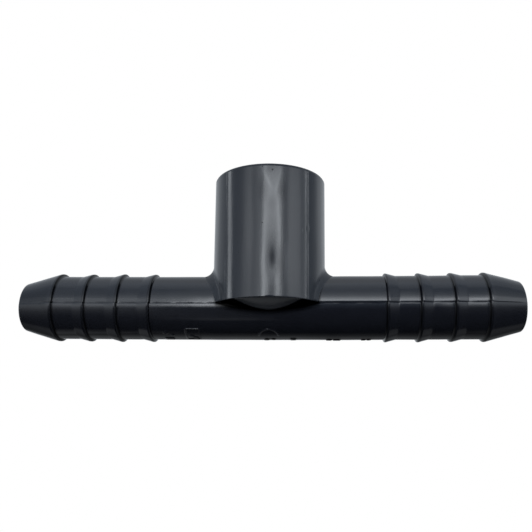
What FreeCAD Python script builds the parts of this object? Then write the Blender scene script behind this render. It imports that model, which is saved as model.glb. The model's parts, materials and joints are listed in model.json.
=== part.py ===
import FreeCAD, Part
import math
import os
import Sketcher

# Barbed insert tee with a female threaded outlet, injection moulded in rigid PVC.
#
# Frame: the origin is where the run's axis meets the outlet's axis.
#   +X along the run, towards the right-hand hose tail
#   +Z along the outlet, out of its mouth
#   -Y is the front
# The moulding's parting plane is z = 0.  Lengths are in millimetres.
#
# The real tee is a single moulding.  Its regions are made here as separate solids that meet
# face to face: a hose tail on each side, the run between them, and the outlet hub that
# saddles over the run.

doc = FreeCAD.newDocument("barbed_tee")

# ---------------------------------------------------------------- driving dimensions
DIMENSIONS = [
    # alias, value, what it is
    ("half_length", 61.7, "outlet axis to the end of a hose tail"),
    ("bore_radius", 5.2, "waterway of the run, straight through"),
    ("core_radius", 7.9, "outside of the run and of the tails between barbs"),
    ("ridge_radius", 8.5, "crest of every barb"),
    ("tip_radius", 6.1, "outside of the tail at its end"),
    ("tip_edge", 0.35, "rounding of the tail's end, as a 45 degree chamfer"),
    ("ridge_first", 52.85, "middle of the outermost crest"),
    ("ridge_pitch", 8.0, "distance from crest to crest"),
    ("crest_land", 0.4, "width of each crest's cylindrical land"),
    ("shoulder_run", 0.32, "axial length of the steep shoulder that faces the hub"),
    ("ramp_run", 2.3, "axial length of the ramp of barbs 2 to 4"),
    ("tail_start", 28.33, "outlet axis to the foot of the innermost shoulder, where a tail begins"),
    ("hub_radius", 14.1, "outside of the outlet hub"),
    ("hub_top", 33.1, "run axis to the mouth of the outlet"),
    ("hub_edge", 0.45, "rounding of the hub's top rim, as a chamfer"),
    ("hub_base_edge", 0.25, "small chamfer at the hub's lower rim"),
    ("rim_height", 0.4, "run axis up to the hub's lower rim"),
    ("underside_angle", 17.5, "slope of the hub's conical underside, degrees"),
    ("saddle_fillet", 2.7, "fillet where the hub meets the top of the run"),
    ("mouth_radius", 10.75, "plain counterbore at the outlet's mouth"),
    ("mouth_depth", 1.5, "depth of the plain counterbore"),
    ("mouth_bevel", 0.4, "bevel at the mouth's inner edge"),
    ("minor_radius", 9.26, "crest of the female thread, at the top of the thread"),
    ("taper_per_side", 0.03125, "taper of the thread in radius, 1 in 32"),
    ("thread_pitch", 1.8143, "14 threads per inch"),
    ("thread_depth", 1.25, "depth of the thread groove"),
    ("thread_length", 14.5, "length of the cut thread"),
    ("socket_depth", 19.0, "mouth to the socket's floor"),
    ("port_radius", 5.0, "waterway from the socket down to the run"),
    ("floor_cone", 1.6, "drop of the socket's conical floor"),
]

sheet = doc.addObject("Spreadsheet::Sheet", "dimensions")
sheet.set("A1", "name")
sheet.set("B1", "value")
sheet.set("C1", "meaning")
for row, (alias, value, meaning) in enumerate(DIMENSIONS, start=2):
    sheet.set("A%d" % row, alias)
    sheet.set("B%d" % row, str(value))
    sheet.set("C%d" % row, meaning)
    sheet.setAlias("B%d" % row, alias)
doc.recompute()
D = {alias: float(sheet.get(alias)) for alias, _, _ in DIMENSIONS}

V = FreeCAD.Vector


def plane(body, role):
    """The body's own origin plane with this role."""
    return next(f for f in body.Origin.OriginFeatures if f.Role == role)


def new_body(label):
    body = doc.addObject("PartDesign::Body", label)
    body.Label = label
    body.Placement = FreeCAD.Placement(V(0, 0, 0), FreeCAD.Rotation())
    return body


def new_sketch(body, name, role):
    sk = body.newObject("Sketcher::SketchObject", name)
    sk.AttachmentSupport = [(plane(body, role), "")]
    sk.MapMode = "FlatFace"
    doc.recompute()
    return sk


class Profile:
    """A closed outline of straight lines, in sketch coordinates (u, v).

    Each corner is held by a horizontal and a vertical distance from the sketch's origin,
    and each distance carries an expression on the sheet where one is given.
    """

    def __init__(self, sketch, points):
        self.sk = sketch
        n = len(points)
        for i in range(n):
            a, b = points[i], points[(i + 1) % n]
            sketch.addGeometry(
                Part.LineSegment(V(a[0], a[1], 0), V(b[0], b[1], 0)), False
            )
        for i in range(n):
            sketch.addConstraint(
                Sketcher.Constraint("Coincident", i, 2, (i + 1) % n, 1)
            )
        for i, p in enumerate(points):
            self._hold("DistanceX", i, p[0], p[2] if len(p) > 2 else None)
            self._hold("DistanceY", i, p[1], p[3] if len(p) > 3 else None)

    def _hold(self, kind, i, value, expression):
        if abs(value) < 1e-9 and expression is None:
            # on an axis: PointOnObject -1 is the horizontal axis, -2 the vertical one
            self.sk.addConstraint(
                Sketcher.Constraint(
                    "PointOnObject", i, 1, -2 if kind == "DistanceX" else -1
                )
            )
            return
        index = self.sk.addConstraint(
            Sketcher.Constraint(kind, -1, 1, i, 1, float(value))
        )
        if expression:
            self.sk.setExpression("Constraints[%d]" % index, expression)


def volume_of(feature):
    doc.recompute()
    bad = [f.Name for f in doc.Objects if set(f.State) & {"Invalid", "Error"}]
    if bad:
        raise RuntimeError("failed features: %s" % bad)
    return feature.Shape.Volume


def must_remove(label, before, after, least=1.0):
    if not after < before - least:
        raise RuntimeError("%s removed nothing: %.2f -> %.2f" % (label, before, after))


def must_add(label, before, after, least=1.0):
    if not after > before + least:
        raise RuntimeError("%s added nothing: %.2f -> %.2f" % (label, before, after))


S = "dimensions."


# ---------------------------------------------------------------- hose tails
def tail(label, side):
    """A barbed tail, revolved about the X axis.  side is +1 for the right, -1 for the left.

    The outermost barb is a nose cone that starts at the tail's end.  The other three have a
    short ramp on the side the hose comes from.  Every barb ends in a steep shoulder that
    faces the hub, and the tail is a plain cylinder between barbs.
    """
    sg = "" if side > 0 else "-1 * "

    def x(text):
        return sg + "(" + text + ")"

    def pt(xv, xe, rv, re):
        return (side * xv, rv, x(xe), re)

    R, C, HL = S + "ridge_radius", S + "core_radius", S + "half_length"
    pts = [
        pt(D["tail_start"], S + "tail_start", D["bore_radius"], S + "bore_radius"),
        pt(D["half_length"], HL, D["bore_radius"], S + "bore_radius"),
        pt(
            D["half_length"],
            HL,
            D["tip_radius"] - D["tip_edge"] * 0.45,
            S + "tip_radius - 0.45 * " + S + "tip_edge",
        ),
        pt(
            D["half_length"] - D["tip_edge"],
            HL + " - " + S + "tip_edge",
            D["tip_radius"] + 0.06,
            S + "tip_radius + 0.06",
        ),
    ]
    for n in range(4):
        crest = D["ridge_first"] - n * D["ridge_pitch"]
        ce = S + "ridge_first - %d * " % n + S + "ridge_pitch"
        half = D["crest_land"] / 2
        he = S + "crest_land / 2"
        if n > 0:
            pts.append(
                pt(
                    crest + half + D["ramp_run"],
                    ce + " + " + he + " + " + S + "ramp_run",
                    D["core_radius"],
                    C,
                )
            )
        pts.append(pt(crest + half, ce + " + " + he, D["ridge_radius"], R))
        pts.append(pt(crest - half, ce + " - " + he, D["ridge_radius"], R))
        if n < 3:
            pts.append(
                pt(
                    crest - half - D["shoulder_run"],
                    ce + " - " + he + " - " + S + "shoulder_run",
                    D["core_radius"],
                    C,
                )
            )
        else:
            # the innermost shoulder's foot is where the tail meets the run
            pts.append(pt(D["tail_start"], S + "tail_start", D["core_radius"], C))

    body = new_body(label)
    sk = new_sketch(body, label + "_profile", "XZ_Plane")
    Profile(sk, pts)
    doc.recompute()
    rev = body.newObject("PartDesign::Revolution", label + "_turned")
    rev.Profile = sk
    rev.ReferenceAxis = (sk, ["H_Axis"])
    rev.Angle = 360.0
    doc.recompute()
    return body


right_tail = tail("right_hose_barb", 1)
left_tail = tail("left_hose_barb", -1)


# ---------------------------------------------------------------- run between the tails
run = new_body("run_tube")
sk = new_sketch(run, "run_section", "YZ_Plane")
outer = sk.addGeometry(Part.Circle(V(0, 0, 0), V(0, 0, 1), D["core_radius"]), False)
inner = sk.addGeometry(Part.Circle(V(0, 0, 0), V(0, 0, 1), D["bore_radius"]), False)
for g, name in ((outer, "core_radius"), (inner, "bore_radius")):
    sk.addConstraint(Sketcher.Constraint("Coincident", g, 3, -1, 1))
    c = sk.addConstraint(Sketcher.Constraint("Radius", g, D[name]))
    sk.setExpression("Constraints[%d]" % c, S + name)
run_pad = run.newObject("PartDesign::Pad", "run_length")
run_pad.Profile = sk
run_pad.SideType = "Symmetric"
run_pad.setExpression("Length", "2 * " + S + "tail_start")
v0 = volume_of(run_pad)

# the port through the top wall, under the outlet
sk = new_sketch(run, "port_section", "XY_Plane")
g = sk.addGeometry(Part.Circle(V(0, 0, 0), V(0, 0, 1), D["port_radius"]), False)
sk.addConstraint(Sketcher.Constraint("Coincident", g, 3, -1, 1))
c = sk.addConstraint(Sketcher.Constraint("Radius", g, D["port_radius"]))
sk.setExpression("Constraints[%d]" % c, S + "port_radius")
port = run.newObject("PartDesign::Pocket", "outlet_port")
port.Profile = sk
port.Reversed = True
port.setExpression("Length", S + "core_radius + 1")
v1 = volume_of(port)
must_remove("outlet_port", v0, v1)
if port.Shape.Solids[0].CenterOfMass.z > 0:
    raise RuntimeError("the outlet port was cut downwards")


# ---------------------------------------------------------------- outlet hub
hub = new_body("outlet_hub")
slope = math.tan(math.radians(D["underside_angle"]))
drop = "tan(" + S + "underside_angle * 1 deg)"
sk = new_sketch(hub, "hub_profile", "XZ_Plane")
Profile(
    sk,
    [
        (0.0, D["rim_height"] - D["hub_radius"] * slope, None,
         S + "rim_height - " + S + "hub_radius * " + drop),
        (D["hub_radius"] - D["hub_base_edge"], D["rim_height"] - D["hub_base_edge"] * slope,
         S + "hub_radius - " + S + "hub_base_edge",
         S + "rim_height - " + S + "hub_base_edge * " + drop),
        (D["hub_radius"], D["rim_height"] + D["hub_base_edge"], S + "hub_radius",
         S + "rim_height + " + S + "hub_base_edge"),
        (D["hub_radius"], D["hub_top"] - D["hub_edge"], S + "hub_radius",
         S + "hub_top - " + S + "hub_edge"),
        (D["hub_radius"] - D["hub_edge"], D["hub_top"],
         S + "hub_radius - " + S + "hub_edge", S + "hub_top"),
        (0.0, D["hub_top"], None, S + "hub_top"),
    ],
)
blank = hub.newObject("PartDesign::Revolution", "hub_blank")
blank.Profile = sk
blank.ReferenceAxis = (sk, ["V_Axis"])
blank.Angle = 360.0
v0 = volume_of(blank)

# a stretch of the run, added so that the fillet has something to land on
sk = new_sketch(hub, "run_core_section", "YZ_Plane")
g = sk.addGeometry(Part.Circle(V(0, 0, 0), V(0, 0, 1), D["core_radius"]), False)
sk.addConstraint(Sketcher.Constraint("Coincident", g, 3, -1, 1))
c = sk.addConstraint(Sketcher.Constraint("Radius", g, D["core_radius"]))
sk.setExpression("Constraints[%d]" % c, S + "core_radius")
core = hub.newObject("PartDesign::Pad", "run_core")
core.Profile = sk
core.SideType = "Symmetric"
core.setExpression("Length", "2 * (" + S + "hub_radius + 2 * " + S + "saddle_fillet)")
v1 = volume_of(core)
must_add("run_core", v0, v1)

# the saddle edges: where the hub's cylinder meets the upper half of the run
edges = []
for i, e in enumerate(core.Shape.Edges, start=1):
    mid = e.valueAt((e.FirstParameter + e.LastParameter) / 2)
    rho = math.hypot(mid.x, mid.y)
    if (
        abs(rho - D["hub_radius"]) < 0.02
        and abs(math.hypot(mid.y, mid.z) - D["core_radius"]) < 0.02
        and mid.z > 0.5
    ):
        edges.append("Edge%d" % i)
print("saddle edges:", edges)
saddle = hub.newObject("PartDesign::Fillet", "saddle_fillet")
saddle.Base = (core, edges)
saddle.setExpression("Radius", S + "saddle_fillet")
v2 = volume_of(saddle)
must_add("saddle_fillet", v1, v2)
hub.Tip = saddle
doc.recompute()
print("hub volumes", v0, v1, v2)

# the run's own material goes back to run_tube
sk = new_sketch(hub, "run_clear_section", "YZ_Plane")
g = sk.addGeometry(Part.Circle(V(0, 0, 0), V(0, 0, 1), D["core_radius"]), False)
sk.addConstraint(Sketcher.Constraint("Coincident", g, 3, -1, 1))
c = sk.addConstraint(Sketcher.Constraint("Radius", g, D["core_radius"]))
sk.setExpression("Constraints[%d]" % c, S + "core_radius")
clear = hub.newObject("PartDesign::Pocket", "run_clearance")
clear.Profile = sk
clear.SideType = "Symmetric"
clear.setExpression("Length", "2 * " + S + "half_length")
v3 = volume_of(clear)
must_remove("run_clearance", v2, v3)

# the socket: counterbore, tapered wall, conical floor and the port down to the run
sk = new_sketch(hub, "socket_profile", "XZ_Plane")
taper = S + "taper_per_side"
wall_top = D["hub_top"] - D["mouth_depth"]
floor_z = D["hub_top"] - D["socket_depth"]
floor_r = D["minor_radius"] - (wall_top - floor_z) * D["taper_per_side"]
Profile(
    sk,
    [
        (0.0, 0.0),
        (D["port_radius"], 0.0, S + "port_radius", None),
        (D["port_radius"], floor_z - D["floor_cone"], S + "port_radius",
         S + "hub_top - " + S + "socket_depth - " + S + "floor_cone"),
        (floor_r, floor_z,
         S + "minor_radius - (" + S + "socket_depth - " + S + "mouth_depth) * " + taper,
         S + "hub_top - " + S + "socket_depth"),
        (D["minor_radius"], wall_top, S + "minor_radius",
         S + "hub_top - " + S + "mouth_depth"),
        (D["mouth_radius"], wall_top, S + "mouth_radius",
         S + "hub_top - " + S + "mouth_depth"),
        (D["mouth_radius"], D["hub_top"] - D["mouth_bevel"], S + "mouth_radius",
         S + "hub_top - " + S + "mouth_bevel"),
        (D["mouth_radius"] + D["mouth_bevel"], D["hub_top"],
         S + "mouth_radius + " + S + "mouth_bevel", S + "hub_top"),
        (0.0, D["hub_top"], None, S + "hub_top"),
    ],
)
socket = hub.newObject("PartDesign::Groove", "socket")
socket.Profile = sk
socket.ReferenceAxis = (sk, ["V_Axis"])
socket.Angle = 360.0
v4 = volume_of(socket)
must_remove("socket", v3, v4)
print("hub after socket", v3, v4)
hub.Tip = socket
doc.recompute()

# the female taper thread: a 60 degree groove wound down from above the counterbore's floor
sk = new_sketch(hub, "thread_profile", "XZ_Plane")
in_r = D["minor_radius"] - 0.25
out_r = D["minor_radius"] + D["thread_depth"]
mid_z = wall_top + 0.5 * D["thread_pitch"]
root_half = 0.06
half_in = root_half + (out_r - in_r) * math.tan(math.radians(30))
in_e = S + "minor_radius - 0.25"
out_e = S + "minor_radius + " + S + "thread_depth"
z_e = S + "hub_top - " + S + "mouth_depth + 0.5 * " + S + "thread_pitch"
half_e = "0.06 + (" + S + "thread_depth + 0.25) * tan(30 deg)"
Profile(
    sk,
    [
        (in_r, mid_z - half_in, in_e, z_e + " - (" + half_e + ")"),
        (out_r, mid_z - root_half, out_e, z_e + " - 0.06"),
        (out_r, mid_z + root_half, out_e, z_e + " + 0.06"),
        (in_r, mid_z + half_in, in_e, z_e + " + (" + half_e + ")"),
    ],
)
doc.recompute()
thread = hub.newObject("PartDesign::SubtractiveHelix", "female_thread")
thread.Profile = sk
thread.ReferenceAxis = (sk, ["V_Axis"])
thread.Mode = 0
thread.Reversed = True
thread.LeftHanded = False
thread.setExpression("Pitch", S + "thread_pitch")
thread.setExpression("Height", S + "thread_length")
thread.setExpression("Angle", "-1 * atan(" + S + "taper_per_side)")
v5 = volume_of(thread)
print("hub after thread", v4, v5)
must_remove("female_thread", v4, v5)
hub.Tip = thread
doc.recompute()

SUBPARTS = [left_tail, run, hub, right_tail]


# ---------------------------------------------------------------- checks and export
doc.recompute()
for obj in doc.Objects:
    if set(obj.State) & {"Invalid", "Error"}:
        raise RuntimeError("%s is %s" % (obj.Name, obj.State))
for body in SUBPARTS:
    shape = body.Shape
    if shape.isNull() or not shape.isValid():
        raise RuntimeError("%s has no valid shape" % body.Label)
    print(
        "%-18s solids %d  volume %9.2f mm3  box %s"
        % (
            body.Label,
            len(shape.Solids),
            shape.Volume,
            [
                round(v, 2)
                for v in (
                    shape.BoundBox.XMin, shape.BoundBox.YMin, shape.BoundBox.ZMin,
                    shape.BoundBox.XMax, shape.BoundBox.YMax, shape.BoundBox.ZMax,
                )
            ],
        )
    )

os.makedirs("parts", exist_ok=True)
for body in SUBPARTS:
    body.Shape.exportStep("parts/%s.step" % body.Label)
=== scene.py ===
import bpy
import json
import math
import numpy as np
from mathutils import Matrix, Vector

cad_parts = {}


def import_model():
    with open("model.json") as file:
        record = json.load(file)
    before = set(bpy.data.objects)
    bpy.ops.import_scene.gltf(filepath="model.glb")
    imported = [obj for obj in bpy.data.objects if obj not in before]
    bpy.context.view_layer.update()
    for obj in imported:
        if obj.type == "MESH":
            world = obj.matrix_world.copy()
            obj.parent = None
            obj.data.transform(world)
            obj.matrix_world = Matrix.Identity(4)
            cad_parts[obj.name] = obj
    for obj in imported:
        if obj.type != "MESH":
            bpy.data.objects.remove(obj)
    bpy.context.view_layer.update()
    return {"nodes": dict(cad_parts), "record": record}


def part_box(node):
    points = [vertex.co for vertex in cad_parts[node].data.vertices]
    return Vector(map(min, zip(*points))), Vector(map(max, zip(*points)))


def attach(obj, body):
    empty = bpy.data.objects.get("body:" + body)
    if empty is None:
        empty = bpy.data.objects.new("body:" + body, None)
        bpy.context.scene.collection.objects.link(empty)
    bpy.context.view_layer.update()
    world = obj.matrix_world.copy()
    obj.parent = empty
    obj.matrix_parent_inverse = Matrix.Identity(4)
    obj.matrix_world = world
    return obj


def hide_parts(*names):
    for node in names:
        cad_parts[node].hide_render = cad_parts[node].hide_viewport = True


# Barbed insert tee in charcoal rigid PVC.  Meshes are worked out in millimetres in the part's
# own frame (+X along the run, +Z along the outlet, -Y the front) and scaled to metres.
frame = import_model()
rng = np.random.default_rng(11)
MM = 0.001

# ------------------------------------------------------------------ sizes, from the CAD nodes
_lo, _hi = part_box("right_hose_barb")
HALF = _hi.x / MM                 # 61.7
TAIL = _lo.x / MM                 # 28.33, foot of the innermost shoulder
RIDGE = _hi.z / MM                # 8.5
_lo, _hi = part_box("run_tube")
CORE = -_lo.z / MM                # 7.9
_lo, _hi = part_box("outlet_hub")
HUB = _hi.y / MM                  # 14.1
TOP = _hi.z / MM                  # 33.1
BORE = next(m for m in frame["record"]["mounts"] if m["name"] == "run_bore")["dims"]["r_mm"]
MOUTH = next(m for m in frame["record"]["mounts"] if m["name"] == "outlet_thread")["dims"]["r_mm"]
PORT = 5.0
TIP = {-1: 5.99, 1: 6.17}         # the two ends are not moulded quite alike
CREST = [52.85, 44.85, 36.85, 28.85]
LAND, SHOULDER, RAMP = 0.4, 0.32, 2.3
RIM = 0.35
FILLET = 2.7
OVER = 0.04                       # the moulding comes out this much over size
UNDER = math.tan(math.radians(17.5))


# ------------------------------------------------------------------ helpers
def mesh_object(name, verts, faces, sharp=38.0):
    me = bpy.data.meshes.new(name)
    me.from_pydata((np.asarray(verts) * MM).tolist(), [], faces)
    me.validate()
    me.polygons.foreach_set("use_smooth", [True] * len(me.polygons))
    me.set_sharp_from_angle(angle=math.radians(sharp))
    me.update()
    ob = bpy.data.objects.new(name, me)
    bpy.context.scene.collection.objects.link(ob)
    return ob


def torus_grid(name, P, flip=False, sharp=38.0):
    """P is (n, m, 3): n stations round the axis, m points round the closed section."""
    n, m, _ = P.shape
    i = np.arange(n)[:, None]
    j = np.arange(m)[None, :]
    a = i * m + j
    b = ((i + 1) % n) * m + j
    c = ((i + 1) % n) * m + (j + 1) % m
    d = i * m + (j + 1) % m
    q = np.stack([a, b, c, d], -1).reshape(-1, 4)
    if flip:
        q = q[:, ::-1]
    return mesh_object(name, P.reshape(-1, 3), q.tolist(), sharp)


def rounded(points, radii, step, arc_seg=5):
    """Open polyline through points with its corners rounded, long runs cut to at most step."""
    pts = [np.array(p, float) for p in points]
    out = [pts[0]]

    def line_to(q):
        p = out[-1]
        d = np.linalg.norm(q - p)
        if d < 1e-6:
            return
        k = max(1, int(math.ceil(d / step)))
        for s in range(1, k + 1):
            out.append(p + (q - p) * s / k)

    for k in range(1, len(pts) - 1):
        p0, p1, p2 = pts[k - 1], pts[k], pts[k + 1]
        r = radii[k]
        d0, d1 = (p0 - p1), (p2 - p1)
        l0, l1 = np.linalg.norm(d0), np.linalg.norm(d1)
        d0, d1 = d0 / l0, d1 / l1
        ang = math.acos(max(-1, min(1, float(d0 @ d1))))
        if r <= 0 or ang > math.pi - 1e-3:
            line_to(p1)
            continue
        t = min(r / math.tan(ang / 2), 0.48 * l0, 0.48 * l1)
        r = t * math.tan(ang / 2)
        a, b = p1 + d0 * t, p1 + d1 * t
        bis = (d0 + d1) / np.linalg.norm(d0 + d1)
        c = p1 + bis * (r / math.sin(ang / 2))
        line_to(a)
        va, vb = a - c, b - c
        a0 = math.atan2(va[1], va[0])
        a1 = math.atan2(vb[1], vb[0])
        da = (a1 - a0 + math.pi) % (2 * math.pi) - math.pi
        for s in range(1, arc_seg + 1):
            w = a0 + da * s / arc_seg
            out.append(c + r * np.array([math.cos(w), math.sin(w)]))
    line_to(pts[-1])
    return np.array(out)


def smooth(a, b, x):
    t = np.clip((x - a) / (b - a), 0, 1)
    return t * t * (3 - 2 * t)


def bump(x, c, s):
    return np.exp(-0.5 * ((x - c) / s) ** 2)


def waves(seed, n, lo, hi, power=1.0):
    """A smooth random field of position, as a sum of plane waves with periods lo to hi mm."""
    g = np.random.default_rng(seed)
    k = g.normal(size=(n, 3))
    k /= np.linalg.norm(k, axis=1)[:, None]
    period = np.exp(g.uniform(math.log(lo), math.log(hi), n))
    k *= (2 * math.pi / period)[:, None]
    ph = g.uniform(0, 2 * math.pi, n)
    amp = (period / hi) ** power
    amp /= math.sqrt((amp**2).sum() / 2)

    def f(p):
        v = np.zeros(p.shape[:-1])
        for a, kk, pp in zip(amp, k, ph):
            v += a * np.sin(p @ kk + pp)
        return v

    return f


def as_moulded(P):
    """The whole part's small departures from its drawing.

    The run bows: its ends stand 0.28 mm high.  The mould's two halves are out of line by
    0.2 mm along the run, which shows as a jog in every barb at the parting plane.
    """
    P = P.copy()
    x, z = P[..., 0], P[..., 2]
    jog = 0.11 * np.clip(z / 0.06, -1, 1) * smooth(18.0, 26.0, np.abs(x)) * smooth(61.5, 58.0, np.abs(x))
    P[..., 2] = z + 0.28 * (x / HALF) ** 2
    P[..., 0] = x + jog
    return P


WAVE = waves(3, 14, 6.0, 22.0)
FINE = waves(5, 16, 1.6, 5.0)


# ------------------------------------------------------------------ the mould's parting plane
def angles():
    """Stations round the run: close together at the parting plane, wider apart elsewhere."""
    half = [0.0]
    while half[-1] < 90.0:
        a = half[-1]
        half.append(a + (0.42 if a < 7.0 else 0.8 if a < 14 else 1.6))
    half = np.array(half) * 90.0 / half[-1]
    q = np.concatenate([half[:-1], 180 - half[::-1][:-1], 180 + half[:-1], 360 - half[::-1][:-1]])
    return np.radians(q)


def mismatch(x):
    """How far the lower half of the moulding stands forward of the upper half, in mm."""
    return 0.040 + 0.030 * smooth(-26, -14, x) - 0.165 * smooth(-8, 12, x) + 0.080 * smooth(28.2, 29.0, x)


def parting(x, phi):
    """Radial offset of the run's outside at the mould's parting plane.

    The two halves are slightly out of line, and a fine witness groove runs along the joint.
    It fades out on the right-hand nose cone.
    """
    z = CORE * np.sin(phi)
    d = mismatch(x) * smooth(55.0, 52.6, x) * np.cos(phi)
    right = smooth(-8, 12, x) * smooth(29.0, 28.2, x)
    sharp_step = np.clip(-z / 0.05, -1, 1)
    soft_step = 2 * smooth(0.50, -0.32, z) - 1
    off = 0.5 * d * (sharp_step * (1 - right) + soft_step * right)
    groove = 0.052 * np.exp(-0.5 * ((z + 0.05) / np.where(z > -0.05, 0.17, 0.06)) ** 2)
    fade = smooth(54.0, 52.4, x) * (0.35 + 0.65 * smooth(-61, -52, x)) * (1 - 0.7 * right)
    off -= groove * fade * (1 + 0.35 * np.sin(x * 0.9) + 0.2 * np.sin(x * 2.3 + 1))
    return off


# ------------------------------------------------------------------ hose tails
def tail_mesh(name, side):
    pts, rad = [(TAIL, CORE)], [0]
    for k, c in enumerate(reversed(CREST)):
        if k:
            pts.append((c - LAND / 2 - SHOULDER, CORE)); rad.append(0.10)
        pts.append((c - LAND / 2, RIDGE)); rad.append(0.16)
        pts.append((c + LAND / 2, RIDGE)); rad.append(0.30)
        if k < 3:
            pts.append((c + LAND / 2 + RAMP, CORE)); rad.append(1.6)
    pts += [(HALF, TIP[side]), (HALF, BORE), (TAIL, BORE)]
    rad += [0.55, 0.14, 0]
    prof = rounded(pts, rad, 0.6, 6)
    end = rounded([(TAIL, BORE), (TAIL, CORE)], [0, 0], 1.0)
    prof = np.concatenate([prof, end[1:-1]])
    phi = angles()
    X, PH = np.meshgrid(prof[:, 0], phi)
    R = np.broadcast_to(prof[:, 1], X.shape).copy()
    x = X * side
    outside = (R > BORE + 0.25) & (X > TAIL - 1e-6)
    P0 = np.stack([x, -R * np.cos(PH), R * np.sin(PH)], -1)
    # no change of shape where the tail meets the run, so the two keep one outline there
    off = OVER + parting(x, PH) + 0.012 * WAVE(P0) + 0.0022 * FINE(P0)
    off *= np.where(outside, 1, 0)
    # crests are not perfectly even round the part
    near = sum(bump(X, c, 0.5) for c in CREST)
    off += near * 0.02 * WAVE(P0 * 1.7 + 9) * outside
    R = R + off
    P = as_moulded(np.stack([x, -R * np.cos(PH), R * np.sin(PH)], -1))
    return torus_grid(name, P, flip=(side > 0))


# ------------------------------------------------------------------ raised marks under the run
def marks(x, s):
    """Height of the generic raised marks.  x along the run, s the arc length from the bottom."""
    def edge(d, w=0.09):
        return 1 - smooth(-w, w, d)

    def disc(cx, cs, r):
        return edge(np.hypot(x - cx, s - cs) - r)

    def bar(cx, cs, hx, hs, r=0.15):
        qx, qs = np.abs(x - cx) - hx + r, np.abs(s - cs) - hs + r
        return edge(np.hypot(np.maximum(qx, 0), np.maximum(qs, 0)) + np.minimum(np.maximum(qx, qs), 0) - r)

    def ring(cx, cs, r, w):
        return edge(np.abs(np.hypot(x - cx, s - cs) - r) - w)

    m = np.zeros_like(x)
    frame_mark = bar(-18.3, 3.6, 1.80, 2.45, 0.3) * (1 - bar(-18.3, 3.6, 1.52, 2.17, 0.2))
    arc = ring(0.2, 3.3, 2.35, 0.13) * smooth(3.0, 3.6, s)
    for v in (
        bar(-24.3, 1.5, 1.15, 0.85, 0.4), disc(-24.9, 4.5, 0.62), disc(-23.3, 3.5, 0.34),
        frame_mark, disc(-18.7, 3.0, 0.55), disc(-17.8, 2.1, 0.75),
        arc, disc(-0.4, 0.9, 0.75), disc(1.3, 1.1, 0.6),
        bar(6.1, 1.0, 0.75, 0.85, 0.3), disc(14.9, 0.3, 0.75), bar(16.8, 0.1, 0.95, 0.7, 0.4),
        disc(23.4, 0.2, 0.6), disc(24.7, 0.4, 0.62),
    ):
        m = np.maximum(m, v)
    return m


# ------------------------------------------------------------------ run between the tails
def run_mesh(name):
    n = 420
    xs = np.linspace(-TAIL - 0.25, TAIL + 0.25, n)
    outer = np.stack([xs, np.full(n, CORE)], -1)
    # the ends slant in under the tails, so no two faces lie on each other
    xi = np.linspace(TAIL, -TAIL, 60)
    inner = np.stack([xi, np.full(60, BORE)], -1)
    prof = np.concatenate([outer, [[TAIL + 0.12, 0.5 * (CORE + BORE)]], inner, [[-TAIL - 0.12, 0.5 * (CORE + BORE)]]])
    phi = angles()
    # more stations over the marks
    deg = np.degrees(phi)
    extra = np.radians(np.arange(250.0, 326.0, 0.8))
    keep = (deg < 249.6) | (deg > 326.2)
    phi = np.sort(np.concatenate([phi[keep], extra]))
    X, PH = np.meshgrid(prof[:, 0], phi)
    R = np.broadcast_to(prof[:, 1], X.shape).copy()
    outside = R > CORE - 0.01
    P0 = np.stack([X, -R * np.cos(PH), R * np.sin(PH)], -1)
    off = OVER + parting(X, PH) + 0.012 * WAVE(P0) + 0.0022 * FINE(P0)
    s = (PH - math.radians(270)) * CORE
    off += 0.17 * marks(X, s)
    R = R + off * outside
    P = as_moulded(np.stack([X, -R * np.cos(PH), R * np.sin(PH)], -1))
    ob = torus_grid(name, P, flip=True)
    # the port up into the outlet
    bpy.ops.mesh.primitive_cylinder_add(vertices=96, radius=PORT * MM, depth=8 * MM, location=(0, 0, 5.5 * MM))
    cutter = bpy.context.object
    mod = ob.modifiers.new("port", "BOOLEAN")
    mod.operation, mod.object, mod.solver = "DIFFERENCE", cutter, "EXACT"
    dg = bpy.context.evaluated_depsgraph_get()
    cut = bpy.data.meshes.new_from_object(ob.evaluated_get(dg), depsgraph=dg)
    ob.modifiers.clear()
    ob.data = cut
    bpy.data.objects.remove(cutter)
    cut.polygons.foreach_set("use_smooth", [True] * len(cut.polygons))
    cut.set_sharp_from_angle(angle=math.radians(38))
    return ob


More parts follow.
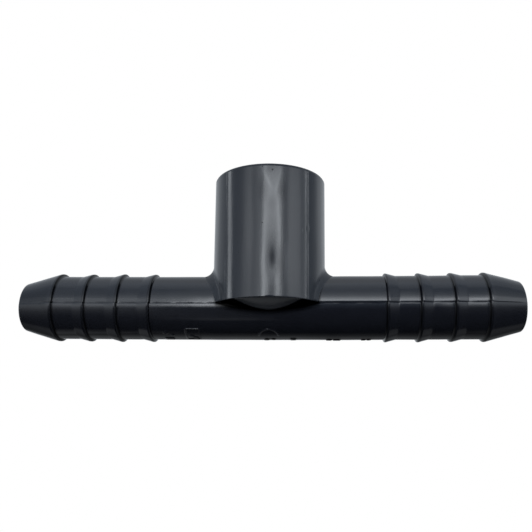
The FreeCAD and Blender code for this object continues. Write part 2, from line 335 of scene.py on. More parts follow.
# ------------------------------------------------------------------ outlet hub
def hub_wall(th, z):
    """Radial offset of the hub's outside: draft, sink marks, mould witness lines, waviness."""
    P = np.stack([HUB * np.sin(th), -HUB * np.cos(th), z], -1)
    deg = (np.degrees(th) + 180) % 360 - 180
    off = OVER + 0.0062 * (z - 14.0)
    off += 0.008 * WAVE(P * np.array([1, 1, 0.35])) + 0.0030 * FINE(P * np.array([1, 1, 0.22]))
    # sinks over the thick corner above the run, front and back
    for c in (6.5, 186.5):
        s = np.radians((deg - c + 180) % 360 - 180) * HUB
        wide = np.where(s > 0, 1.55, 1.15)
        off -= 0.072 * np.exp(-0.5 * (s / wide) ** 2 - 0.5 * ((z - 8.9) / 2.4) ** 2)
        off -= 0.022 * np.exp(-0.5 * (s / 2.4) ** 2 - 0.5 * ((z - 33.5) / 2.2) ** 2)
    # witness lines where the mould's slides meet
    for c, depth in ((-45.2, 0.030), (43.6, 0.030), (134.5, 0.03), (-135.0, 0.04)):
        s = np.radians((deg - c + 180) % 360 - 180) * HUB
        off -= depth * np.exp(-0.5 * (s / 0.10) ** 2) * (0.45 + 0.55 * smooth(13.0, 6.0, z))
    # a faint flow line beside it
    s = np.radians(deg - 28.3) * HUB - 0.12 * np.sin(z * 0.37 + 0.6)
    off -= 0.008 * np.exp(-0.5 * (s / 0.11) ** 2) * smooth(26.0, 22.0, z)
    # a small nick on the right-hand line
    s = np.radians(deg - 43.85) * HUB
    off -= 0.10 * np.exp(-0.5 * (s / 0.24) ** 2 - 0.5 * ((z - 17.7) / 0.24) ** 2)
    s = np.radians(deg - 38.0) * HUB
    off -= 0.05 * np.exp(-0.5 * (s / 0.15) ** 2 - 0.5 * ((z - 17.0) / 0.18) ** 2)
    return off


def hub_mesh(name):
    n = 640
    th_all = np.arange(n) / n * 2 * math.pi
    rows = []
    A = HUB + FILLET
    B = CORE + FILLET
    th0 = math.acos(B / A)                     # where the fillet's contact with the hub dies out
    th1 = math.atan2(math.sqrt(A * A - B * B), CORE)   # and its contact with the run
    z_edge = RIM + 0.24
    for th in th_all:
        # first-quadrant angle from the front or the back
        f = math.acos(min(1.0, abs(math.cos(th))))
        c = math.cos(f)
        # --- zone B: from z = 13 down the wall and the fillet, as (rho, z)
        if f > th0:
            cy = A * c
            zf = math.sqrt(max(0.0, B * B - cy * cy))
        else:
            zf = z_edge
        zf = max(zf, z_edge)
        poly = [(HUB, z) for z in np.linspace(13.0, zf, 60)]
        if f > th0:
            t = np.linspace(0, 1, 41)[1:]
            lo = np.zeros_like(t)
            hi = np.full_like(t, math.pi / 2)

            def patch(psi):
                Cy = B * np.cos(psi)
                Cz = B * np.sin(psi)
                Cx = np.sqrt(np.maximum(0, A * A - Cy * Cy))
                nh = np.stack([Cx / A, Cy / A, np.zeros_like(Cz)], -1)
                nr = np.stack([np.zeros_like(Cz), Cy / B, Cz / B], -1)
                w = np.arccos(np.clip((nh * nr).sum(-1), -1, 1))
                sw = np.maximum(np.sin(w), 1e-6)
                d = (np.sin((1 - t) * w) / sw)[:, None] * nh + (np.sin(t * w) / sw)[:, None] * nr
                C = np.stack([Cx, Cy, Cz], -1)
                return C - FILLET * d

            # azimuth from the Y axis grows with psi
            p0 = patch(lo)
            az0 = np.arctan2(p0[:, 0], p0[:, 1])
            for _ in range(50):
                mid = (lo + hi) / 2
                pm = patch(mid)
                az = np.arctan2(pm[:, 0], pm[:, 1])
                up = az < f
                lo = np.where(up, mid, lo)
                hi = np.where(up, hi, mid)
            p = patch((lo + hi) / 2)
            good = (az0 <= f + 1e-9) & (p[:, 2] > z_edge)
            for q in p[good]:
                poly.append((math.hypot(q[0], q[1]), q[2]))
        poly = np.array(poly)
        # --- zone U: round the lower rim, in along the cone, onto the run and into its wall
        rho_e, z_e = poly[-1]
        if f < th1 - 1e-6:
            rho = np.linspace(max(rho_e, HUB), 5.0, 900)
            zc = RIM - np.maximum(0, HUB - rho) * UNDER
            rr = np.hypot(rho * c, zc)
            hit = np.argmax(rr <= CORE)
            rs, zs = rho[hit], zc[hit]
            corner = np.array([rho_e, RIM])
            q0 = np.array([rho_e, z_e])
            room = rho_e - rs
            q1r = rho_e - min(0.30, 0.4 * room)
            q1 = np.array([q1r, RIM - max(0.0, HUB - q1r) * UNDER])
            u = np.linspace(0, 1, 9)[:, None]
            edge = (1 - u) ** 2 * q0 + 2 * u * (1 - u) * corner + u**2 * q1
            # a small fillet into the run's lower half
            k = min(0.28, 0.3 * room)
            a = np.array([rs + k, RIM - max(0.0, HUB - rs - k) * UNDER])
            # direction down the run's surface in this plane: (y, z) circle seen at slope c
            al = math.asin(max(-1, min(1, zs / CORE)))
            k2 = k * 1.1
            al2 = al - k2 / CORE
            b = np.array([CORE * math.cos(al2) / max(c, 0.25), CORE * math.sin(al2)])
            j = np.array([rs, zs])
            u = np.linspace(0, 1, 9)[:, None]
            foot = (1 - u) ** 2 * a + 2 * u * (1 - u) * j + u**2 * b
            al3 = al2 - 0.02
            dive = np.array([[(CORE - 0.4) * math.cos(al3) / max(c, 0.25), (CORE - 0.4) * math.sin(al3)]])
            under = np.concatenate([edge, np.linspace(q1, a, 12)[1:], foot[1:], dive])
        else:
            # lands on the top of the run: go straight into its wall
            y, z = rho_e * c, z_e
            r = math.hypot(y, z)
            under = np.array([[rho_e, z_e], [rho_e + 0.02, z_e * (CORE - 0.4) / r]])
        rows.append((f, poly, under))

    zw = np.linspace(TOP - 0.45, 13.0, 68)
    nB, nU = 48, 30

    def resample(poly, k, first=None):
        d = np.r_[0, np.cumsum(np.linalg.norm(np.diff(poly, axis=0), axis=1))]
        if first is None:
            s = np.linspace(0, d[-1], k)
        else:
            h = np.array(first)
            h = h[h < d[-1] * 0.6]
            s = np.r_[h, np.linspace(h[-1], d[-1], k - len(h) + 1)[1:]] if len(h) else np.linspace(0, d[-1], k)
        return np.stack([np.interp(s, d, poly[:, 0]), np.interp(s, d, poly[:, 1])], -1)

    sections = []
    # rim, mouth and counterbore are the same all round
    rim = rounded([(MOUTH, TOP - 1.5), (MOUTH + 0.0, TOP - 0.42), (MOUTH + 0.42, TOP), (HUB, TOP), (HUB, TOP - 0.55)],
                  [0, 0.12, 0.15, 0.42, 0], 0.45, 6)[::-1]
    for k, th in enumerate(th_all):
        f, poly, under = rows[k]
        ext = [np.stack([np.full(len(zw), HUB), zw], -1), resample(poly, nB)[1:],
               resample(under, nU, (0, 0.07, 0.14, 0.21, 0.28, 0.36))[1:]]
        ext = np.concatenate(ext)
        w = hub_wall(np.full(len(ext), th), ext[:, 1])
        fade = smooth(-0.4, 0.6, ext[:, 1]) * smooth(HUB + 2.6, HUB + 0.2, ext[:, 0])
        ext[:, 0] += w * fade
        # inside, from the port up to the counterbore's shoulder
        z_wall = TOP - 1.5
        floor = TOP - 19.0
        r_minor = lambda z: 9.26 - (z_wall - z) / 32.0
        zt = np.linspace(z_wall, floor, 176)
        pitch = 1.8143
        ph = ((zt - (z_wall + 0.5 * pitch)) / pitch - th / (2 * math.pi)) % 1.0
        ph = np.minimum(ph, 1 - ph) * pitch
        v = np.clip(1 - np.maximum(ph - 0.06, 0) / 0.722, 0, 1) * 1.25
        end = z_wall + 0.5 * pitch - 14.5
        run_out = smooth(end - 0.4, end + 0.5, zt - (th / (2 * math.pi) - 1) * pitch * 0.0)
        rt = r_minor(zt) + v * run_out
        inside = np.stack([rt, zt], -1)
        shoulder = np.array([[MOUTH - 0.05, z_wall], [10.62, z_wall]])
        shoulder[1, 0] = max(10.56, rt[0] + 0.02)
        fl = rounded([(r_minor(floor), floor), (PORT + 0.02, floor - 1.6), (PORT + 0.02, 8.2)], [0, 0.3, 0], 0.6, 4)[1:]
        sd = CORE - 0.4
        zp = math.sqrt(sd * sd - ((PORT + 0.02) * math.cos(th)) ** 2)
        port = np.stack([np.full(4, PORT + 0.02), np.linspace(8.2, zp, 5)[1:]], -1)
        top = rim[1:]
        sec = np.concatenate([ext[::-1], top[1:-0 or None], shoulder[:1], inside, fl, port])
        sec3 = np.stack([sec[:, 0] * math.sin(th), -sec[:, 0] * math.cos(th), sec[:, 1]], -1)
        # hidden saddle inside the run's wall, from the port out to the foot
        a, b = sec3[-1], sec3[0]
        sg = -1.0 if math.cos(th) > 0 else 1.0
        pa = math.atan2(a[2], sg * a[1]) if abs(a[1]) > 1e-9 else math.pi / 2
        pb = math.atan2(b[2], sg * b[1]) if abs(b[1]) > 1e-6 else math.pi / 2
        u = np.linspace(0, 1, 14)[1:-1]
        ra = math.hypot(a[1], a[2])
        rb = math.hypot(b[1], b[2])
        pu = pa + (pb - pa) * u
        ru = ra + (rb - ra) * u
        sad = np.stack([a[0] + (b[0] - a[0]) * u, sg * ru * np.cos(pu), ru * np.sin(pu)], -1)
        sections.append(np.concatenate([sec3, sad]))
    P = as_moulded(np.array(sections))
    return torus_grid(name, P, flip=False)


# ------------------------------------------------------------------ materials
def new_material(name):
    m = bpy.data.materials.new(name)
    m.use_nodes = True
    nt = m.node_tree
    nt.nodes.clear()
    return m, nt


def pvc(name, part=None):
    m, nt = new_material(name)
    N, L = nt.nodes, nt.links
    out = N.new("ShaderNodeOutputMaterial")
    bsdf = N.new("ShaderNodeBsdfPrincipled")
    L.new(bsdf.outputs[0], out.inputs[0])
    bsdf.inputs["IOR"].default_value = 1.53
    bsdf.inputs["Specular IOR Level"].default_value = 0.5
    co = N.new("ShaderNodeTexCoord")

    def noise(scale, detail, rough, stretch=(1, 1, 1)):
        mp = N.new("ShaderNodeMapping")
        mp.inputs["Scale"].default_value = [s * 1000 for s in stretch]
        L.new(co.outputs["Object"], mp.inputs[0])
        t = N.new("ShaderNodeTexNoise")
        t.inputs["Scale"].default_value = scale
        t.inputs["Detail"].default_value = detail
        t.inputs["Roughness"].default_value = rough
        L.new(mp.outputs[0], t.inputs[0])
        return t

    def ramp(src, lo, hi, a, b):
        r = N.new("ShaderNodeMapRange")
        r.inputs["From Min"].default_value, r.inputs["From Max"].default_value = lo, hi
        r.inputs["To Min"].default_value, r.inputs["To Max"].default_value = a, b
        L.new(src, r.inputs[0])
        return r.outputs[0]

    # colour: charcoal with a faint blue cast, slightly mottled as moulded PVC is
    mottle = noise(0.35, 5, 0.6)
    cr = N.new("ShaderNodeValToRGB")
    cr.color_ramp.elements[0].position, cr.color_ramp.elements[1].position = 0.32, 0.7
    cr.color_ramp.elements[0].color = (0.0098, 0.0106, 0.0144, 1)
    cr.color_ramp.elements[1].color = (0.0119, 0.0129, 0.0175, 1)
    L.new(mottle.outputs[0], cr.inputs[0])

    def calc(op, a, b=None, c=None):
        n = N.new("ShaderNodeMath")
        n.operation = op
        for i, v in enumerate((a, b, c)):
            if v is None:
                continue
            if isinstance(v, (int, float)):
                n.inputs[i].default_value = v
            else:
                L.new(v, n.inputs[i])
        return n.outputs[0]

    def mixed(fac, a, b):
        n = N.new("ShaderNodeMix")
        n.data_type = "RGBA"
        L.new(fac, n.inputs["Factor"])
        for key, v in (("A", a), ("B", b)):
            if isinstance(v, tuple):
                n.inputs[key].default_value = v
            else:
                L.new(v, n.inputs[key])
        return n.outputs["Result"]

    colour = cr.outputs[0]
    rough_add = None
    if part:
        place = N.new("ShaderNodeSeparateXYZ")
        L.new(co.outputs["Object"], place.inputs[0])
        px, py, pz = (calc("MULTIPLY", o, 1000.0) for o in place.outputs)
        pr = calc("SQRT", calc("ADD", calc("MULTIPLY", px, px), calc("MULTIPLY", py, py)))
    if part == "hub":
        # painted light and shade on the hub's underside: a pale, dull patch off its middle, paler towards the run to
        # make up for the light the run blocks;
        # round the patch it is painted nearly black, as the shadow in the crease
        sep = N.new("ShaderNodeSeparateXYZ")
        L.new(co.outputs["Normal"], sep.inputs[0])
        down = ramp(sep.outputs[2], -0.45, -0.70, 0.0, 1.0)
        corner = calc("MULTIPLY", ramp(pr, 13.95, 13.6, 0.0, 1.0), ramp(pz, 2.2, 1.4, 0.0, 1.0))
        down = calc("MAXIMUM", down, corner)
        off_mid = calc("SUBTRACT", px, 0.6)
        t = calc("SUBTRACT", calc("ABSOLUTE", py), calc("MULTIPLY_ADD", calc("MULTIPLY", off_mid, off_mid), 0.058, 8.1))
        patch = ramp(t, -0.3, 0.5, 0.0, 1.0)
        # painted light: the patch is paler the nearer it is to the run
        strength = calc("MULTIPLY", ramp(pr, 14.1, 8.5, 0.052, 0.130), patch)
        painted_underside = mixed(strength, (0, 0, 0, 1), (0.96, 1.0, 1.09, 1))
        body = mixed(down, colour, painted_underside)
        gloss = calc("SUBTRACT", 0.5, calc("MULTIPLY", down, calc("SUBTRACT", 0.48, calc("MULTIPLY", patch, 0.3))))
        # the fillet down to the run is less polished
        rough_add = calc("MULTIPLY", ramp(pr, 14.12, 14.45, 0.0, 0.32), ramp(pz, 12.0, 10.0, 0.0, 1.0))
        # and hardly shines at all low down, beside the run
        matt = calc("MULTIPLY", ramp(calc("ABSOLUTE", px), 9.1, 10.3, 0.0, 1.0), ramp(pz, 7.0, 3.6, 0.0, 1.0))
        matt = calc("MULTIPLY", matt, ramp(calc("ABSOLUTE", py), 5.8, 7.0, 0.0, 1.0))
        gloss = calc("MULTIPLY", gloss, calc("MULTIPLY_ADD", matt, -0.75, 1.0))
        # painted reflection: the middle of the front sink reflects less, a painted dark spot in its highlight
        sx = calc("MULTIPLY", calc("SUBTRACT", px, 1.5), 1 / 0.75)
        sz = calc("MULTIPLY", calc("SUBTRACT", pz, 9.6), 1 / 2.7)
        dist = calc("SQRT", calc("ADD", calc("MULTIPLY", sx, sx), calc("MULTIPLY", sz, sz)))
        front = ramp(py, -10.0, -12.0, 0.0, 1.0)
        sink_painted_dark = calc("MULTIPLY", ramp(dist, 1.25, 0.35, 0.0, 1.0), front)
        gloss = calc("MULTIPLY", gloss, calc("MULTIPLY_ADD", sink_painted_dark, -0.66, 1.0))
        # painted reflection: the front's specular level is raised and lowered in soft patches to shape its highlight,
        # as x, z, half width, half height, change
        for cx, cz, hx, hz, change in (
            (-0.9, 26.4, 1.2, 3.2, -0.24), (3.7, 26.2, 1.2, 3.0, -0.30), (1.4, 32.6, 1.5, 1.9, -0.28),
            (1.2, 22.9, 1.5, 2.4, -0.10), (-3.0, 28.0, 1.3, 6.0, -0.08), (1.4, 12.0, 2.0, 7.0, -0.20),
            (3.35, 8.4, 0.95, 5.0, -0.30), (1.6, 1.6, 1.3, 2.2, -0.24), (0.3, 31.4, 0.9, 1.7, -0.20),
            (3.8, 8.8, 0.55, 5.0, -0.30), (4.8, 8.8, 0.7, 5.2, 0.30), (1.4, 26.3, 1.0, 2.6, 0.12), (-7.8, 0.8, 0.7, 3.6, -0.26), (-8.85, 0.8, 0.6, 3.8, 0.70),
        ):
            ex = calc("MULTIPLY", calc("SUBTRACT", px, cx), 1 / hx)
            ez = calc("MULTIPLY", calc("SUBTRACT", pz, cz), 1 / hz)
            away = calc("SQRT", calc("ADD", calc("MULTIPLY", ex, ex), calc("MULTIPLY", ez, ez)))
            amount = calc("MULTIPLY", ramp(away, 1.25, 0.1, 0.0, change), front)
            gloss = calc("MULTIPLY", gloss, calc("ADD", amount, 1.0))
        # the sides are a little duller low down
        low = calc("MULTIPLY", ramp(calc("ABSOLUTE", px), 10.6, 11.8, 0.0, 1.0), ramp(pz, 17.0, 12.0, 0.0, 1.0))
        low = calc("MULTIPLY", low, ramp(pz, 3.0, 6.0, 0.0, 1.0))
        gloss = calc("MULTIPLY", gloss, calc("MULTIPLY_ADD", low, -0.12, 1.0))
        # and painted reflection lines that shape the front's highlight: x at two heights, half width, change
        for x0, z0, x1, z1, hw, change in (
            (-1.3, 32.4, 1.0, 27.2, 0.55, 0.22), (3.7, 32.0, 2.4, 26.8, 0.50, 0.22),
            (2.7, 24.0, 3.3, 12.5, 0.45, 0.16), (-0.45, 18.5, -0.6, 0.5, 0.40, 0.10),
        ):
            lean = (x1 - x0) / (z1 - z0)
            line = calc("MULTIPLY_ADD", calc("SUBTRACT", pz, z0), lean, x0)
            aside = calc("ABSOLUTE", calc("SUBTRACT", px, line))
            amount = calc("MULTIPLY", ramp(aside, hw, 0.0, 0.0, change), front)
            amount = calc("MULTIPLY", amount, ramp(pz, z0 + 1.0, z0 - 0.5, 0.0, 1.0))
            amount = calc("MULTIPLY", amount, ramp(pz, z1 - 1.0, z1 + 0.5, 0.0, 1.0))
            gloss = calc("MULTIPLY", gloss, calc("ADD", amount, 1.0))
        body = mixed(calc("MULTIPLY", matt, calc("SUBTRACT", 1.0, down)), body, (0.030, 0.033, 0.039, 1))
        # specks of grit moulded in
        grit = None
        for spot, size in (((-0.85, -14.05, 18.1), 0.26), ((-6.56, -12.44, 11.3), 0.17), ((1.4, -14.1, 31.4), 0.34),
                           ((-1.0, -14.1, 32.2), 0.24), ((3.0, -13.8, 25.8), 0.15), ((-8.9, -10.9, 14.6), 0.13)):
            gap = N.new("ShaderNodeVectorMath")
            gap.operation = "DISTANCE"
            L.new(co.outputs["Object"], gap.inputs[0])
            gap.inputs[1].default_value = [v * MM for v in spot]
            one = ramp(gap.outputs["Value"], size * MM, 0.35 * size * MM, 0.0, 0.75)
            grit = one if grit is None else calc("MAXIMUM", grit, one)
        L.new(mixed(grit, body, (0.004, 0.004, 0.005, 1)), bsdf.inputs["Base Color"])
        gloss = calc("MULTIPLY", gloss, calc("SUBTRACT", 1.0, grit))
        L.new(gloss, bsdf.inputs["Specular IOR Level"])
    elif part == "run":
        # painted shade: the crease below the hub is painted black, as the shadow under the hub
        zb = calc("MULTIPLY_ADD", calc("SUBTRACT", pr, HUB), UNDER, RIM)
        below = calc("SUBTRACT", pz, zb)
        # narrower in the middle
        below = calc("ADD", below, calc("MINIMUM", calc("MULTIPLY_ADD", calc("MULTIPLY", px, px), 0.0062, -0.50), 0.0))
        painted_shade = calc("MULTIPLY", ramp(below, -1.75, -0.6, 0.0, 1.0), ramp(pr, 15.2, 14.6, 0.0, 1.0))
        # painted shade also sits round the raised marks at the bottom
        mark_shade = None
        for cx, hx in ((-24.3, 1.3), (-18.0, 1.2), (0.4, 1.3), (6.1, 0.9), (15.9, 1.8), (24.0, 1.4)):
            one = ramp(calc("ABSOLUTE", calc("SUBTRACT", px, cx)), hx + 0.35, hx - 0.35, 0.0, 0.85)
            mark_shade = one if mark_shade is None else calc("MAXIMUM", mark_shade, one)
        mark_shade = calc("MULTIPLY", mark_shade, ramp(pz, -7.50, -7.85, 0.0, 1.0))
        painted_shade = calc("MAXIMUM", painted_shade, mark_shade)
        L.new(mixed(painted_shade, colour, (0, 0, 0, 1)), bsdf.inputs["Base Color"])
        L.new(calc("MULTIPLY_ADD", painted_shade, -0.49, 0.5), bsdf.inputs["Specular IOR Level"])
    elif part == "tail":
        # painted shade: the steep shoulder of every barb is painted black, as the shade it throws on itself
        along = calc("MODULO", calc("SUBTRACT", calc("ABSOLUTE", px), CREST[-1] - 4.0), 8.0)
        shoulder = calc("MULTIPLY", ramp(along, 3.36, 3.52, 0.0, 0.84), ramp(along, 3.70, 3.86, 1.0, 0.0))
        # and their edges painted darker and duller, as shade over their highlights
        beside = calc("MULTIPLY", ramp(along, 3.12, 3.28, 0.0, 0.34), ramp(along, 4.16, 4.32, 1.0, 0.0))
        shoulder = calc("MAXIMUM", shoulder, beside)
        shoulder = calc("MULTIPLY", shoulder, ramp(calc("ABSOLUTE", px), 54.0, 55.0, 1.0, 0.0))
        # the upper half of the noses is a little darker and duller
        nose = calc("MULTIPLY", ramp(calc("ABSOLUTE", px), 52.6, 54.0, 0.0, 0.20), ramp(pz, -1.6, -0.6, 0.0, 1.0))
        shoulder = calc("MAXIMUM", shoulder, nose)
        L.new(mixed(shoulder, colour, (0, 0, 0, 1)), bsdf.inputs["Base Color"])
        L.new(calc("MULTIPLY_ADD", shoulder, -0.42, 0.5), bsdf.inputs["Specular IOR Level"])
    else:
        L.new(colour, bsdf.inputs["Base Color"])
    # roughness: semi-gloss, broken by faint rub marks
    rub = noise(0.9, 6, 0.65)
    rough = ramp(rub.outputs[0], 0.3, 0.75, 0.085, 0.15)
    if rough_add:
        rough = calc("ADD", rough, rough_add)
    L.new(rough, bsdf.inputs["Roughness"])
    # fine grain from the mould
    grain = noise(9.0, 4, 0.6)
    bp = N.new("ShaderNodeBump")
    bp.inputs["Strength"].default_value = 0.10
    bp.inputs["Distance"].default_value = 0.00004
    L.new(grain.outputs[0], bp.inputs["Height"])
    if part == "hub":
        # faint flow lines up the hub
        flow = noise(0.9, 5, 0.65, (1, 1, 0.10))
        b2 = N.new("ShaderNodeBump")
        b2.inputs["Strength"].default_value = 0.5
        b2.inputs["Distance"].default_value = 0.00004
        L.new(flow.outputs[0], b2.inputs["Height"])
        L.new(bp.outputs[0], b2.inputs["Normal"])
        bp = b2
    L.new(bp.outputs[0], bsdf.inputs["Normal"])
    return m


# ------------------------------------------------------------------ pieces
TAIL_PVC = pvc("pvc_charcoal_tail", "tail")
HUB_PVC = pvc("pvc_charcoal_hub", "hub")
RUN_PVC = pvc("pvc_charcoal_run", "run")
pieces = {
    "left_hose_barb": tail_mesh("left_hose_barb_moulded", -1),
    "right_hose_barb": tail_mesh("right_hose_barb_moulded", 1),
    "run_tube": run_mesh("run_tube_moulded"),
    "outlet_hub": hub_mesh("outlet_hub_moulded"),
}
for node, ob in pieces.items():
    mat = {"outlet_hub": HUB_PVC, "run_tube": RUN_PVC}.get(node, TAIL_PVC)
    ob.data.materials.clear()
    ob.data.materials.append(mat)
    frame["nodes"][node].data.materials.clear()
    frame["nodes"][node].data.materials.append(mat)
    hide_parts(node)
    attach(ob, "root")

# ------------------------------------------------------------------ camera
YAW, PITCH, ROLL = math.radians(2.905), math.radians(13.258), math.radians(0.389)
base = Matrix.Rotation(YAW, 3, "Z") @ Matrix.Rotation(PITCH, 3, "X")
right, ahead, up = base @ Vector((1, 0, 0)), base @ Vector((0, 1, 0)), base @ Vector((0, 0, 1))
r2 = math.cos(ROLL) * right + math.sin(ROLL) * up
u2 = -math.sin(ROLL) * right + math.cos(ROLL) * up
cam_data = bpy.data.cameras.new("camera")
cam_data.sensor_width = 36.0
cam_data.sensor_fit = "HORIZONTAL"
cam_data.lens = 588.0 / 532 * 36.0
cam_data.shift_x = -(277.94 - 266.0) / 532
cam_data.shift_y = (267.64 - 266.0) / 532
cam_data.clip_start, cam_data.clip_end = 0.005, 20.0
cam = bpy.data.objects.new("camera", cam_data)
bpy.context.scene.collection.objects.link(cam)
rot = Matrix((r2, u2, -ahead)).transposed().to_4x4()
cam.matrix_world = Matrix.Translation(Vector((9.567, -146.066, -23.966)) * MM) @ rot
bpy.context.scene.camera = cam


# ------------------------------------------------------------------ floor
def floor():
    bpy.ops.mesh.primitive_plane_add(size=12, location=(0, 0, -0.30))
    ob = bpy.context.object
    ob.name = "floor"
    m, nt = new_material("pale_floor")
    out = nt.nodes.new("ShaderNodeOutputMaterial")
    em = nt.nodes.new("ShaderNodeEmission")
    em.inputs["Color"].default_value = (1, 1, 1, 1)
    em.inputs["Strength"].default_value = 1.0
    nt.links.new(em.outputs[0], out.inputs[0])
    ob.data.materials.append(m)
    ob.visible_diffuse = ob.visible_glossy = ob.visible_shadow = False
    ob.visible_transmission = False


floor()


# ------------------------------------------------------------------ studio light
def world():
    w = bpy.data.worlds.new("studio")
    bpy.context.scene.world = w
    w.use_nodes = True
    nt = w.node_tree
    N, L = nt.nodes, nt.links
    N.clear()
    out = N.new("ShaderNodeOutputWorld")
    co = N.new("ShaderNodeTexCoord")
    sep = N.new("ShaderNodeSeparateXYZ")
    L.new(co.outputs["Generated"], sep.inputs[0])

    def math_node(op, a, b=None, c=None):
        n = N.new("ShaderNodeMath")
        n.operation = op
        for i, v in enumerate((a, b, c)):
            if v is None:
                continue
            if isinstance(v, (int, float)):
                n.inputs[i].default_value = v
            else:
                L.new(v, n.inputs[i])
        return n.outputs[0]

    def step(v, lo, hi):
        r = N.new("ShaderNodeMapRange")
        r.interpolation_type = "SMOOTHSTEP"
        r.inputs["From Min"].default_value, r.inputs["From Max"].default_value = lo, hi
        L.new(v, r.inputs[0])
        return r.outputs[0]

    x, y, z = sep.outputs
    az = math_node("MULTIPLY", math_node("ARCTAN2", x, math_node("MULTIPLY", y, -1.0)), 180 / math.pi)
    el = math_node("MULTIPLY", math_node("ARCSINE", z), 180 / math.pi)

    def between(v, a, b, c, d):
        """0 below a, rising to 1 at b, 1 to c, falling to 0 at d"""
        return math_node("SUBTRACT", step(v, a, b), step(v, c, d))

    def curve(v, points):
        """Straight lines through (position, value) pairs; values up to 8."""
        lo, hi = points[0][0], points[-1][0]
        r = N.new("ShaderNodeMapRange")
        r.inputs["From Min"].default_value, r.inputs["From Max"].default_value = lo, hi
        L.new(v, r.inputs[0])
        c = N.new("ShaderNodeValToRGB")
        e = c.color_ramp.elements
        while len(e) < len(points):
            e.new(0.5)
        for k, (p, val) in enumerate(points):
            e[k].position = (p - lo) / (hi - lo)
            e[k].color = (val / 8, val / 8, val / 8, 1)
        L.new(r.outputs[0], c.inputs[0])
        return math_node("MULTIPLY", c.outputs[0], 8.0)

    # white walls: how bright they are round the room, and how that falls off with height
    total = math_node("MULTIPLY", curve(az, WALL_ROUND), curve(el, WALL_HEIGHT))
    total = math_node("ADD", total, curve(el, CEILING))
    for level, fa, fe, slant in BOXES:
        a = math_node("MULTIPLY_ADD", el, slant, math_node("ADD", az, -21.0 * slant)) if slant else az
        v = math_node("MULTIPLY", between(a, *fa), curve(el, fe))
        total = math_node("ADD", total, math_node("MULTIPLY", v, level))
    for keep, fa, fe in FLAGS:
        m = math_node("MULTIPLY", between(az, *fa), between(el, *fe))
        m = math_node("SUBTRACT", 1.0, math_node("MULTIPLY", m, 1.0 - keep))
        total = math_node("MULTIPLY", total, m)
    bg = N.new("ShaderNodeBackground")
    ambient = math_node("MULTIPLY", curve(az, AMBIENT_ROUND), curve(el, AMBIENT_HEIGHT))
    tint = N.new("ShaderNodeCombineColor")
    for keep, fa, fe in FLAGS[1:1]:
        m = math_node("MULTIPLY", between(az, *fa), between(el, *fe))
        ambient = math_node("MULTIPLY", ambient, math_node("SUBTRACT", 1.0, math_node("MULTIPLY", m, 1.0 - keep)))
    for i, (k, k2) in enumerate(zip(TINT, AMBIENT_TINT)):
        v = math_node("MULTIPLY", total, k)
        L.new(math_node("ADD", v, math_node("MULTIPLY", ambient, k2)), tint.inputs[i])
    L.new(tint.outputs[0], bg.inputs["Color"])
    bg.inputs["Strength"].default_value = 1.0
    white = N.new("ShaderNodeBackground")
    white.inputs["Color"].default_value = (1, 1, 1, 1)
    white.inputs["Strength"].default_value = 1.0
    path = N.new("ShaderNodeLightPath")
    mix = N.new("ShaderNodeMixShader")
    L.new(path.outputs["Is Camera Ray"], mix.inputs[0])
    L.new(bg.outputs[0], mix.inputs[1])
    L.new(white.outputs[0], mix.inputs[2])
    L.new(mix.outputs[0], out.inputs[0])


# The studio.  Azimuth is measured from the front (-Y), + to the right; degrees.
TINT = (0.953, 1.0, 1.044)
AMBIENT_TINT = (0.72, 1.0, 1.38)
AMBIENT_ROUND = [(-180, 0.04), (-145, 0.06), (-125, 0.10), (-100, 0.16), (-80, 0.21), (80, 0.21),
                 (100, 0.16), (125, 0.10), (145, 0.06), (180, 0.04)]
AMBIENT_HEIGHT = [(-90, 0.0), (-12, 0.0), (0, 0.55), (5, 1.0), (60, 1.0), (90, 0.8)]
WALL_ROUND = [
    (-180, 0.45), (-135, 0.66), (-97, 0.40), (-90, 0.44),
    (-83, 0.50), (-75, 0.36), (-65, 0.44), (-57, 0.56), (-50, 0.95), (-44, 1.02),
    (-38, 1.32), (-31, 0.98), (-25, 1.15), (-18, 1.50), (-8, 1.45), (2, 1.2), (14, 0.95), (26, 1.1), (32, 1.15),
    (38, 0.92), (44, 1.8), (50, 1.8), (57, 1.68), (66, 1.42), (71, 0.82), (82, 0.95), (88, 0.36),
    (94, 0.30), (108, 0.37), (120, 0.74), (145, 0.72), (180, 0.45),
]
WALL_HEIGHT = [
    (-90, 0.0), (-20, 0.0), (-10, 0.02), (-5, 0.10), (-2, 0.36), (1, 0.80), (5, 1.0), (12, 1.04),
    (19, 1.0), (26, 0.82), (33, 0.56), (40, 0.30), (50, 0.10), (58, 0.0), (90, 0.0),
]
CEILING = [(-90, 0.0), (24, 0.0), (40, 0.27), (50, 0.41), (60, 0.47), (68, 0.52), (75, 0.60), (90, 0.78)]
BACK_LOW = [(-90, 0.0), (-72, 0.0), (-58, 0.07), (-45, 0.14), (-35, 0.18), (-28, 0.12), (-22, 0.04), (-16, 0.0), (90, 0.0)]
LOW = [(-90, 0.0), (-35, 0.02), (-25, 0.09), (-15, 0.22), (-8, 0.45), (-3, 0.6), (2, 0.4), (6, 0.0), (90, 0.0)]
FRONT = [(-90, 0), (-8, 0), (-2, 0.22), (4, 1.0), (22, 1.0), (26, 0.86), (30, 0.46), (35, 0.17), (40, 0.08), (50, 0.0), (90, 0)]
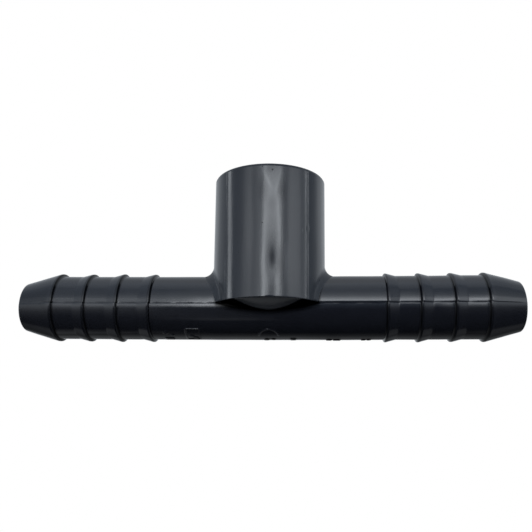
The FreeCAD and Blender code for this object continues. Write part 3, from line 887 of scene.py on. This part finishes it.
# brightness, azimuth window, profile in elevation, how many degrees it leans per degree of height
BOXES = [
    # the front soft box
    (3.4, (-14, -5.5, 21, 31), FRONT, 0.0),
    # its lower left corner, brighter
    (3.2, (-16, -10, -8, -7), [(-90, 0), (-3, 0), (-0.5, 1), (7, 1), (10.5, 0), (90, 0)], 0.0),
    # a strip lamp far round on the left, and one on the right
    (2.4, (-95.5, -93.5, -88, -82), [(-90, 0), (2, 0), (8, 0.85), (12, 0.85), (16, 0.80), (19, 0.74), (21, 0.95), (25, 1), (29, 0), (90, 0)], 0.6),
    (2.7, (82.2, 83.3, 85.3, 86.5), [(-90, 0), (2, 0), (8, 1), (25, 1), (29, 0), (90, 0)], 0.0),
    # a dim wide panel on the left
    (0.45, (-50, -46, -36, -27), [(-90, 0), (11, 0), (15, 1), (18, 0.8), (20, 0.5), (25, 0.5), (30, 0), (90, 0)], 0.0),
    # the soft box's brighter edges, left and right, and the two slanted stays above it
    (0.8, (-14, -11.5, -8, -4), [(-90, 0), (3, 0), (8, 1), (22, 0.9), (25, 0), (90, 0)], 0.0),
    (1.3, (9.5, 12, 14.5, 18), [(-90, 0), (14, 0), (16, 0.8), (19, 1), (20.5, 0.5), (21.5, 0), (90, 0)], 2.33),
    (0.9, (13, 17, 19.5, 24), [(-90, 0), (3, 0), (8, 1), (12.5, 1), (14.5, 0), (90, 0)], 0.0),
    (1.6, (-6, -2, 2, 6), [(-90, 0), (20, 0), (20.8, 1), (24, 1), (27, 0), (90, 0)], 10.0),
    (1.5, (17.5, 20.5, 22.5, 26), [(-90, 0), (20, 0), (20.8, 1), (24, 1), (27, 0), (90, 0)], -5.6),
    # light off the front of the table, low on the left
    (0.17, (-22, -16, -8, -2), [(-90, 0), (-54, 0), (-50, 1.2), (-45, 1.1), (-40, 0.6), (-16, 0.5), (-10, 0), (90, 0)], 0.0),
    (1.0, (-146, -136, -108, -95), [(-90, 0), (-73, 0), (-66, 0.12), (-60, 0.24), (-50, 0.24), (-40, 0.1), (-30, 0), (90, 0)], 0.0),
    (1.0, (95, 108, 136, 146), [(-90, 0), (-73, 0), (-66, 0.08), (-60, 0.16), (-50, 0.16), (-40, 0.07), (-30, 0), (90, 0)], 0.0),
    # the glow of the table's far edge, low at both sides
    (1.0, (-401, -400, -19, -14.5), LOW, 0.0),
    (0.7, (11, 19, 400, 401), LOW, 0.0),
    # the white table behind
    (1.0, (135, 152, 400, 401), BACK_LOW, 0.0),
    (1.3, (-401, -400, -152, -135), BACK_LOW, 0.0),
]
FLAGS = [
    # what stands in front of the soft box
    (0.45, (-5, 3, 12, 19), (-91, -90, 13, 17.5)),
    (0.0, (-8, -4, 8, 19), (-91, -90, 7.6, 9.6)),
    (0.55, (17, 19, 60, 70), (-91, -90, 8, 11)),
    # its middle is a little dimmer
    (0.86, (-3, 3, 10, 15), (17.5, 18.5, 19.7, 20.7)),
    (0.72, (-6, 4, 12, 22), (21.4, 22.8, 30, 40)),
    # and it is pinched in towards its top
    (0.66, (-17, -15, -8, -1), (19.4, 20.4, 21.0, 22.4)),
    (0.66, (15, 21, 27, 30), (19.4, 20.4, 21.0, 22.2)),
    # above it at both sides
    (0.50, (13, 17, 75, 85), (21.5, 26, 56, 66)),
    (0.68, (-95, -85, -26, -16), (21.5, 26, 56, 66)),
]
world()
bpy.context.scene.view_settings.view_transform = "Standard"
